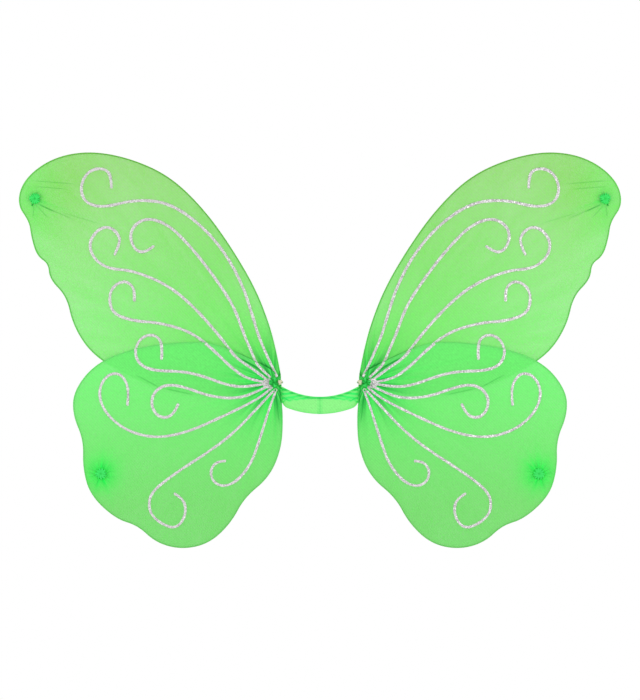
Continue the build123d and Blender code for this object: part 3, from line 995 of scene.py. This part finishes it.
# Painted glints: each flake gets its own brightness in the base colour, from grey to near white.
tone = add_node(glitter, "ShaderNodeValToRGB", links={0: shade.outputs[0]})
for element, stop, code in zip(tone.color_ramp.elements, (0.0, 1.0), ("#a8a2a4", "#fbfbfa")):
    element.position = stop
    element.color = linear(code)
tilt = add_node(
    glitter, "ShaderNodeVectorMath",
    {"operation": "MULTIPLY_ADD", 1: (TILT,) * 3, 2: (-TILT / 2,) * 3},
    {0: flakes.outputs["Color"]},
)
plain = add_node(glitter, "ShaderNodeNewGeometry")
tilted = add_node(
    glitter, "ShaderNodeVectorMath", {"operation": "ADD"}, {0: plain.outputs["Normal"], 1: tilt.outputs[0]}
)
tilted = add_node(glitter, "ShaderNodeVectorMath", {"operation": "NORMALIZE"}, {0: tilted.outputs[0]})
metal = add_node(
    glitter, "ShaderNodeMapRange", {"From Min": 0.45, "From Max": 0.55, "To Min": 0.05, "To Max": 0.7},
    {"Value": shade.outputs[1]},
)
glue = add_node(
    glitter, "ShaderNodeBsdfPrincipled", {"Roughness": 0.34, "Coat Weight": 0.2, "Coat Roughness": 0.2},
    {"Base Color": tone.outputs[0], "Metallic": metal.outputs[0], "Normal": tilted.outputs[0]},
)
add_node(glitter, "ShaderNodeOutputMaterial", links={"Surface": glue.outputs[0]})
print("flakes are drawn", FLAKE, "mm across")

# %% [markdown]
# A bead is a grid too: a low dome in cross-section, pulled along its line. Both ends
# round off, the width drifts a little, and every point is nudged at random so that the
# edge is grainy. The bead then sinks a little into the nylon, and follows its pleats.

# %% Glitter beads
BEAD_HIGH = 0.5
BEAD_SINK = 0.25
BEAD_ARC = 11
GRAIN = 0.13
ROOT_POOL = (57.6, 24.4)  # where the scrolls run together
ROOT_POOL_SIZE = (5.4, 4.9)
ROOT_RING = (49.0, 16.8)  # the low scroll starts with a small ring
ROOT_RING_R = 1.7


def bead_rows(line, width, cut, chance):
    """Rows of (out, up, height above the nylon) for one run. A cut end stays blunt."""
    across = side_of_travel(line, closed=False)
    count = len(line)
    drift = np.sin(line @ [0.31, 0.17]) + np.sin(line @ [0.13, -0.41])
    position = np.arange(count) * BEAD_STEP
    from_start = position + (width if cut[0] else 0.15)
    from_end = np.minimum(from_start, position[::-1] + (width if cut[1] else 0.15))
    round_off = np.sqrt(np.clip(1 - (1 - np.clip(from_end / (width / 2), 0, 1)) ** 2, 0, 1))
    from_root = np.linalg.norm(line - np.array(ROOT), axis=1)
    narrowing = ROOT_NARROW + (1 - ROOT_NARROW) * np.clip(from_root / 70, 0, 1)
    half = width / 2 * (1 + 0.05 * drift) * round_off * narrowing
    angles = np.linspace(0, math.pi, BEAD_ARC)
    rows = []
    for i in range(count):
        side_way = np.cos(angles) * half[i]
        high = np.sin(angles) ** 0.7 * BEAD_HIGH * round_off[i]
        spots = line[i] + across[i] * side_way[:, None]
        spots = spots + chance.uniform(-GRAIN, GRAIN, spots.shape) * round_off[i]
        high = high + chance.uniform(-0.12, 0.12, BEAD_ARC) * (high > 0.1)
        under = line[i]
        spots = np.vstack([spots, under])
        high = np.append(high, 0.0)
        rows.append(np.column_stack([spots, high]))
    return np.array(rows)


def merge(name, parts):
    """Joins separate objects into one."""
    bpy.ops.object.select_all(action="DESELECT")
    for part in parts:
        part.select_set(True)
    bpy.context.view_layer.objects.active = parts[0]
    bpy.ops.object.join()
    whole = bpy.context.object
    whole.name = name
    whole.data.name = name
    return whole


def root_glue():
    """Lines that fill the pool at the root and draw the small ring under the tuft."""
    turns = []
    for part in (0.28, 0.6, 0.85):
        turns.append((ROOT_POOL, (ROOT_POOL_SIZE[0] * part, ROOT_POOL_SIZE[1] * part), 3.2))
    turns.append((ROOT_RING, (ROOT_RING_R, ROOT_RING_R), 1.3))
    angles = np.linspace(0, 2 * math.pi, 24)
    around = np.column_stack([np.cos(angles), np.sin(angles)])
    lines = []
    for middle, size, width in turns:
        turn = np.array(middle) + np.array(size) * around
        lines.append((lay_out(turn, lambda _: BEAD_STEP, closed=False), width, (False, False)))
    return lines


for (level, side_name), cloth in cloths.items():
    side = SIDES[side_name]
    chance = np.random.default_rng(11 if level == "upper" else 12)
    beads = []
    lines = runs[level] + (root_glue() if level == "lower" else [])
    for line, width, cut in lines:
        rows = bead_rows(line, width, cut, chance)
        depth = cloth.front(rows[..., :2]) - BEAD_SINK + rows[..., 2]
        points = np.stack([side * rows[..., 0], -depth, rows[..., 1]], axis=-1) * MM
        beads.append(grid_object("bead", points, close_rows=False, caps=True))
    name = f"{side_name}_{level}_glitter"
    scrolls = merge(name, beads)
    scrolls.data.materials.append(glitter)
    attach(scrolls, f"{side_name}_{level}_wing")
    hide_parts(f"{side_name}_{level}_glitter_scrolls")
    print(name, len(scrolls.data.polygons), "faces")

# %% [markdown]
# ## Rosettes and root tufts
#
# A rosette is the spare end of the bag, pulled through a few turns of thread and fluffed
# into a button. It is a padded knot: a low dome whose pleats run in to a dimple in its
# middle and curl under at its edge. The tuft at each root is the same thing, pulled
# tighter, darker, and with ragged lobes. Both are made as polar grids, with the pleats as
# ripples that grow towards the edge.

# %% Gathered nylon
gathered = empty_material("gathered_tricot_nylon")
spot = add_node(gathered, "ShaderNodeTexCoord").outputs["Object"]
deep = add_node(gathered, "ShaderNodeAttribute", {"attribute_name": "bunch"}).outputs["Fac"]
threads = add_node(
    gathered, "ShaderNodeTexNoise", {"Scale": 1400.0, "Detail": 4.0, "Roughness": 0.7}, {"Vector": spot}
)
# The knots' values include painted shade, so the darker colour here stands both for tightly gathered cloth
# and for shade in troughs, under the head and in the dimple.
tone = add_node(
    gathered, "ShaderNodeMix", {"data_type": "RGBA", 6: linear("#48ff74"), 7: linear("#00b436")}, {0: deep}
)
crumple = add_node(
    gathered, "ShaderNodeBump", {"Strength": 0.5, "Distance": 0.0004}, {"Height": threads.outputs["Fac"]}
)
knot_cloth = add_node(
    gathered, "ShaderNodeBsdfPrincipled",
    {"Roughness": 0.6, "Specular IOR Level": 0.3, "Sheen Weight": 0.08, "Sheen Roughness": 0.4},
    {"Base Color": tone.outputs[2], "Normal": crumple.outputs[0]},
)
shining = add_node(gathered, "ShaderNodeBsdfTranslucent", links={"Color": tone.outputs[2]})
knot_mix = add_node(
    gathered, "ShaderNodeMixShader", {0: SHINE_THROUGH}, {1: knot_cloth.outputs[0], 2: shining.outputs[0]}
)
add_node(gathered, "ShaderNodeOutputMaterial", links={"Surface": knot_mix.outputs[0]})
print("bunched nylon is deeper in colour")

# %% Puckered knots
def puckered_knot(name, side, centre, depth, neck, head, lobes, ragged, dull):
    """A button of gathered nylon. neck and head are (radius, height)."""
    chance = random.Random(name)
    columns = 120
    profile = [  # share of the head's radius, share of the whole height, ripple
        (0.0, 0.72, 0.0), (0.08, 0.70, 0.02), (0.18, 0.80, 0.10), (0.30, 0.93, 0.22), (0.45, 1.0, 0.35),
        (0.60, 0.99, 0.5), (0.74, 0.92, 0.65), (0.86, 0.80, 0.8), (0.95, 0.66, 0.95), (1.0, 0.52, 1.0),
        (0.97, 0.40, 0.95), (0.88, 0.31, 0.7), (0.74, 0.25, 0.4), (0.60, 0.21, 0.2),
    ]
    high = neck[1] + head[1]
    waves = [(lobes, 1.0, chance.uniform(0, 6)), (lobes * 2 - 3, 0.45, chance.uniform(0, 6)),
             (3, ragged, chance.uniform(0, 6)), (5, ragged * 0.7, chance.uniform(0, 6))]
    angles = np.linspace(0, 2 * math.pi, columns, endpoint=False)
    rows, bunches = [], []
    swirl = 0.5
    for share, height_share, ripple in profile + [(None, 0.14, 0), (None, 0.0, 0)]:
        radius = neck[0] / head[0] if share is None else share
        turned = angles + swirl * radius
        wave = sum(size * np.cos(n * turned + phase) for n, size, phase in waves)
        reach = head[0] * radius * (1 + 0.11 * ripple * wave)
        reach = np.minimum(reach, head[0] * 1.08)
        level_up = high * height_share + 0.10 * head[1] * ripple * wave
        level_up = np.clip(level_up, 0, high)
        out = centre[0] + reach * np.cos(angles)
        up = centre[1] + reach * np.sin(angles)
        rows.append(np.stack([side * out, -(depth + level_up), up], axis=-1) * MM)
        # Painted light and shade: darker in the troughs between the lobes, lighter on their crests, darker on
        # the neck and under the head, and darker in the middle dimple. The base value dull is the gathered
        # cloth's own depth of colour.
        shade_and_layers = dull - 0.42 * wave * ripple + (0.5 if share is None or height_share < 0.5 else 0)
        shade_and_layers = shade_and_layers + 0.5 * math.exp(-((radius / 0.16) ** 2))
        bunches.append(np.clip(shade_and_layers, 0, 1))
    return grid_object(name, np.array(rows), close_rows=False, caps=True, values={"bunch": np.array(bunches)})


def close_knot(knot):
    """Welds the point-like middle row of a knot into one point."""
    work = bmesh.new()
    work.from_mesh(knot.data)
    bmesh.ops.remove_doubles(work, verts=work.verts, dist=0.00001)
    bmesh.ops.dissolve_degenerate(work, dist=0.000005, edges=work.edges)
    bmesh.ops.recalc_face_normals(work, faces=work.faces)
    work.to_mesh(knot.data)
    work.free()
    knot.data.polygons.foreach_set("use_smooth", [True] * len(knot.data.polygons))


KNOTS = {"upper": ((3.2, 1.0), (6.0, 3.4), 13, 0.5, 0.12), "lower": ((3.2, 0.9), (6.0, 2.3), 11, 0.3, 0.1)}
for side_name, side in SIDES.items():
    for level in OUTLINES:
        neck, head, lobes, ragged, dull = KNOTS[level]
        name = f"{side_name}_{level}_rosette_knot"
        depth = WING_MIDDLE[level] + COVER_R
        rosette = puckered_knot(name, side, ROSETTES[level], depth, neck, head, lobes, ragged, dull)
        close_knot(rosette)
        rosette.data.materials.append(gathered)
        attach(rosette, f"{side_name}_{level}_wing")
        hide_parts(f"{side_name}_{level}_rosette")
    name = f"{side_name}_root_tuft_knot"
    tuft = puckered_knot(name, side, ROOT, TUFT_BACK, (2.4, 1.1), (4.8, 3.9), 7, 1.6, 0.8)
    close_knot(tuft)
    tuft.data.materials.append(gathered)
    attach(tuft, f"{side_name}_root")
    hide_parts(f"{side_name}_root_tuft")
print("knots made")

# %% [markdown]
# ## Threads and ties
#
# Wherever nylon is gathered, a thread is wound round it a few times and pulled tight. A
# wound thread is a helix, so each is a tube along one. The tie beside each root is the
# end of the cream elastic, wound round the link wire.

# %% Thread and cord
WEAVES = {  # twisted fibre: a diagonal grain, as wide as this many millimetres
    "spun_polyester_thread": (0.5, ("#12a63a", "#2fd257"), 0.6),
    "covered_rubber_elastic_cord": (0.7, ("#c9c9a0", "#efeed4"), 0.7),
}
THREAD, TIE_CORD = (
    patterned_material(
        name, "ShaderNodeTexWave",
        {"bands_direction": "DIAGONAL", "Scale": waves_per_metre(pitch), "Distortion": 2.0}, tones,
        bump=(0.4, 0.1), finish={"Roughness": roughness, "Sheen Weight": 0.2, "Specular IOR Level": 0.3},
    )
    for name, (pitch, tones, roughness) in WEAVES.items()
)
print("thread and cord ready")

# %% Windings


def helix(centre, axis, radius, pitch, turns, per_turn=16):
    """Points of a winding round an axis, in metres. The axis is "depth" or "out"."""
    points = []
    for i in range(int(turns * per_turn) + 1):
        angle = 2 * math.pi * i / per_turn
        along = pitch * (i / per_turn)
        a, b = radius * math.cos(angle), radius * math.sin(angle)
        side, out, depth, up = centre
        if axis == "depth":
            points.append(place(side, out + a, depth + along, up + b))
        else:
            points.append(place(side, out + along, depth + a, up + b))
    return points


def add_piece(piece, body, slot, material, *nodes):
    """Gives a piece its material and its body, and hides the CAD nodes that it stands for. slot is not used.
    """
    piece.data.materials.append(material)
    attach(piece, body)
    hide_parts(*nodes)


THREAD_R = 0.2
TIE_R = 0.82
TIE_OUT = 41.9  # where the tie starts along the post's bent end
WINDINGS = {  # radius, pitch and turns
    "rosette": (3.4, 0.28, 3), "root": (1.75, 0.25, 3), "tuft": (2.62, 0.25, 2), "tie": (1.95, 1.45, 2.6),
}
for side_name, side in SIDES.items():
    for level in OUTLINES:
        front = WING_MIDDLE[level] + COVER_R + 0.15
        for what, (out, up), lift, node in (
            ("rosette", ROSETTES[level], 0.22, "rosette_thread"), ("root", ROOT, 0.18, "root_binding"),
        ):
            line = helix((side, out, front + lift, up), "depth", *WINDINGS[what])
            wound = tube(f"{side_name}_{level}_{what}_winding", [line], THREAD_R, sides=8)
            add_piece(wound, f"{side_name}_{level}_wing", "thread", THREAD, f"{side_name}_{level}_{node}")
    line = helix((side, ROOT[0], TUFT_BACK + 0.32, ROOT[1]), "depth", *WINDINGS["tuft"])
    wound = tube(f"{side_name}_tuft_winding", [line], THREAD_R, sides=8)
    add_piece(wound, f"{side_name}_root", "thread", THREAD, f"{side_name}_tuft_thread")
    line = helix((side, TIE_OUT, HOOK_DEPTH, ROOT[1]), "out", *WINDINGS["tie"])
    tie = tube(f"{side_name}_tie_winding", [line], TIE_R, sides=12)
    add_piece(tie, f"{side_name}_root", "elastic", TIE_CORD, f"{side_name}_root_tie")
print("windings made")

# %% [markdown]
# ## The bridge
#
# The bridge is a sleeve of the same nylon over a padded wire, and it hangs in a shallow
# arc. Its upper edge is folded over, which doubles the cloth and makes it darker there,
# and the fold breaks into wrinkles where the sleeve is bunched towards each root. The two
# halves are separate pieces that meet at the middle.

# %% Bridge sleeve
SLEEVE_HALF = 9.5
SLEEVE_THICK = 3.5
SLEEVE_TIP = 43.4
SLEEVE_ROUND = 64


def on_arc(out, high):
    """A point of the sagging band, this far out and this far above its middle line."""
    return out, SAG_R - math.sqrt((SAG_R - high) ** 2 - out**2)


def sleeve_section(out, slack, squeeze=1.0):
    """One round of the sleeve: (out, depth, up) and how bunched the cloth is there."""
    low_half = SLEEVE_HALF * math.sqrt(max(0.0, 1 - max(0.0, (out - 35.5) / 8.2) ** 2.2))
    top_half = SLEEVE_HALF * math.sqrt(max(0.0, 1 - max(0.0, (out - 41.0) / 2.6) ** 2.5))
    thick = SLEEVE_THICK * math.sqrt(max(0.02, 1 - max(0.0, (out - 38.0) / 6.6) ** 3))
    root_share = min(1.0, out / 41.0)
    points, bunches = [], []
    for i in range(SLEEVE_ROUND):
        angle = 2 * math.pi * i / SLEEVE_ROUND
        s, c = math.sin(angle), math.cos(angle)
        high = (top_half if s > 0 else low_half) * math.copysign(abs(s) ** 0.85, s)
        depth = thick * math.copysign(abs(c) ** 0.75, c)
        from_top = SLEEVE_HALF - high
        fold = 1.6 + (12.5 + 1.2 * math.sin(out * 0.8)) * root_share**2  # where the folded edge ends
        over = 1 / (1 + math.exp((from_top - fold) / 0.35))
        wrinkle = math.sin(from_top * 1.5 - out * 0.75) * over * root_share
        ripple = 0.32 * over + 0.42 * wrinkle
        ripple -= 0.45 * math.exp(-((out / 0.9) ** 2))  # the seam at the middle
        ripple += 0.10 * math.sin(out * 0.9 + high * 0.25) * (1 - over)
        if c < 0:
            ripple *= 0.5
        depth += math.copysign(ripple, c) * abs(c) ** 0.5 * slack
        reach, up = on_arc(out, high * squeeze)
        points.append((reach, SLEEVE_DEPTH + depth * squeeze, up))
        edge = math.exp(-((from_top - fold) / 0.7) ** 2) * (0.4 + 0.5 * root_share)
        seam = 0.35 * math.exp(-((out / 0.9) ** 2)) + 0.25 * math.exp(-(((out - 2.2) / 0.6) ** 2))
        hem = 0.35 * math.exp(-((2 * SLEEVE_HALF - from_top) / 0.8))
        # Painted light and shade: the wrinkles of the fold-over turn lighter and darker in step with their
        # ripple. The doubled fold-over and the hem are darker cloth, and it is also darker along the
        # fold-over's edge, at the middle seam and towards the gathered end.
        shade_and_layers = (0.62 - 0.55 * wrinkle) * over + edge + seam + hem
        shade_and_layers += 0.5 * max(0.0, (out - 40.5) / 4)
        bunches.append(min(1.0, max(0.0, shade_and_layers)))
    return points, bunches


print("sleeve", 2 * SLEEVE_HALF, "mm high")

# %% [markdown]
# Each half is a row of sleeve sections, set closer together towards its end.

# %% Sleeve halves
# The bridge nylon's glow is painted light that lifts its green.
BRIDGE_NYLON = nylon_material(
    "tricot_nylon_bridge", ("#96fb90", "#96fb90"), "#2cfc70", "#08c048", (0.92, 0.92, 0.98), painted_glow=0.13
)



def bend_with_wings(piece):
    """Bakes the piece's placement into its mesh."""
    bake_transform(piece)


for side_name, side in SIDES.items():
    stations = np.concatenate([np.linspace(0, 40, 90), np.linspace(40.3, SLEEVE_TIP, 26)])
    rows, bunches = [], []
    for out in stations:
        points, bunch = sleeve_section(float(out), 1.0)
        rows.append([place(side, *p) for p in points])
        bunches.append(bunch)
    flat_map = np.zeros((len(stations), SLEEVE_ROUND, 2))
    flat_map[..., 0] = np.linspace(0, 0.4, SLEEVE_ROUND)[None, :]
    flat_map[..., 1] = stations[:, None] / 100
    half = grid_object(
        f"{side_name}_bridge_sleeve_half", np.array(rows), close_rows=False, caps=True,
        values={"bunch": np.array(bunches), "fold": 0.8 * np.array(bunches)}, uv=("pull", flat_map),
    )
    half.data.materials.append(BRIDGE_NYLON)
    bend_with_wings(half)
    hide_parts(f"{side_name}_sleeve_end", "bridge_sleeve")
    print(half.name, len(half.data.polygons), "faces")

# %% [markdown]
# Inside the sleeve is a roll of white polyester wadding. It only shows as a paler glow
# through the nylon, but it gives the sleeve its plump look.

# %% Wadding
WADDING_SQUEEZE = 0.86  # the roll is this much smaller than its sleeve

wadding = patterned_material(
    "polyester_wadding", "ShaderNodeTexNoise", {"Scale": 900.0, "Detail": 6.0, "Roughness": 0.8},
    ("#cfe9cf", "#f3fbf0"), bump=(0.8, 0.6),
    finish={"Roughness": 0.95, "Sheen Weight": 0.4, "Specular IOR Level": 0.1},
)
for side_name, side in SIDES.items():
    rows = []
    for out in np.linspace(0.2, 36.5, 60):
        points, _ = sleeve_section(float(out), 0.4, squeeze=WADDING_SQUEEZE)
        end = math.sqrt(max(0.03, 1 - max(0.0, (float(out) - 31) / 6.0) ** 2))
        centre = np.mean(points, axis=0)
        rows.append([place(side, *(centre + (np.array(p) - centre) * [1, end, end])) for p in points])
    roll = grid_object(f"{side_name}_wadding", np.array(rows), close_rows=False, caps=True)
    roll.data.materials.append(wadding)
    bend_with_wings(roll)
    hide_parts("bridge_padding")
print("wadding made")

# %% [markdown]
# ## Shoulder loops
#
# Two loops of flat braided elastic go round the wearer's shoulders. Braided elastic has
# fine ribs along its length, where the rubber strands run, and a slightly wavy edge. The
# band is one grid pulled round the loop.

# %% Shoulder elastic
ELASTIC_CORNERS = [(15, 0.45), (27, 0.45), (38.6, 62), (34.7, 119.5), (11.3, 119.5), (4.4, 62)]
ELASTIC_TIGHT = 4.2  # the loop turns tightly where it leaves the bridge
ELASTIC_W = 6.0
ELASTIC_T = 0.9
ELASTIC_UP = 2.0
RIBS = 8


def loop_corners():
    """The loop's corners, with more points at the two tight ones."""
    corners = []
    for i, corner in enumerate(ELASTIC_CORNERS):
        here = Vector(corner)
        if i > 1:
            corners.append(corner)
            continue
        for other in (ELASTIC_CORNERS[i - 1], ELASTIC_CORNERS[i + 1]):
            way = (Vector(other) - here).normalized()
            corners.append(tuple(here + way * ELASTIC_TIGHT))
        corners.insert(-1, corner)
    return corners


braid = patterned_material(
    "braided_polyester_elastic", "ShaderNodeTexWave",
    {"bands_direction": "DIAGONAL", "Scale": 40.0, "Distortion": 0.4}, ("#cfcdb2", "#f1efdc"),
    bump=(0.5, 0.2),
    finish={"Roughness": 0.75, "Sheen Weight": 0.25, "Specular IOR Level": 0.3}, uv="pull",
)


def band_section():
    """The braid's section as (thickness, width), with a rib for each rubber strand."""
    face = []
    for i in range(41):
        w = i / 40 - 0.5
        swell = 0.5 + 0.5 * abs(math.cos(math.pi * RIBS * w))
        thick = (ELASTIC_T / 2) * (0.72 + 0.28 * swell) * (1 - abs(2 * w) ** 10 * 0.5)
        face.append((thick, w * ELASTIC_W))
    return face + [(-t, w) for t, w in reversed(face)]


for side_name, side in SIDES.items():
    line = lay_out(smooth_line(loop_corners(), closed=True), lambda _: 1.1, closed=True)
    outward = side_of_travel(line, closed=True)
    section = band_section()
    rows = []
    for i, (spot, way) in enumerate(zip(line, outward)):
        flutter = 1 + 0.012 * math.sin(i * 1.7)
        rows.append([
            (side * (spot[0] + way[0] * t) * MM, (spot[1] + way[1] * t) * MM, (ELASTIC_UP + w * flutter) * MM)
            for t, w in section
        ])
    flat_map = np.zeros((len(rows), len(section), 2))
    flat_map[..., 0] = np.array([w for _, w in section])[None, :] / 10
    flat_map[..., 1] = np.arange(len(rows))[:, None] * 0.11
    loop = grid_object(f"{side_name}_shoulder_loop", np.array(rows), uv=("pull", flat_map))
    add_piece(loop, "bridge", "elastic", braid, f"{side_name}_shoulder_elastic")
    print(loop.name, len(loop.data.polygons), "faces")

# %% [markdown]
# Each loop is held to the bridge by two bars of zigzag stitching through the braid.

# %% Stitches
STITCH_LONG = 6.0
STITCHES = 9
STITCH_HIGH = 0.42  # half a zigzag's height
STITCH_DEPTH = -1.02
LOOP_OUT = 21.0  # the middle of each loop's foot

for side_name, side in SIDES.items():
    bars = []
    for up in (ELASTIC_UP - 1.6, ELASTIC_UP + 1.6):
        zigzag = []
        for i in range(STITCHES + 1):
            out = LOOP_OUT - STITCH_LONG / 2 + STITCH_LONG * i / STITCHES
            high = up + (STITCH_HIGH if i % 2 else -STITCH_HIGH)
            for nudge in (-0.12, 0.12):
                zigzag.append(place(side, out + nudge, STITCH_DEPTH, high))
        bars.append(zigzag)
    sewn = tube(f"{side_name}_loop_stitching", bars, 0.17, sides=8)
    add_piece(sewn, "bridge", "thread", THREAD, f"{side_name}_elastic_stitches")
print("stitches made")
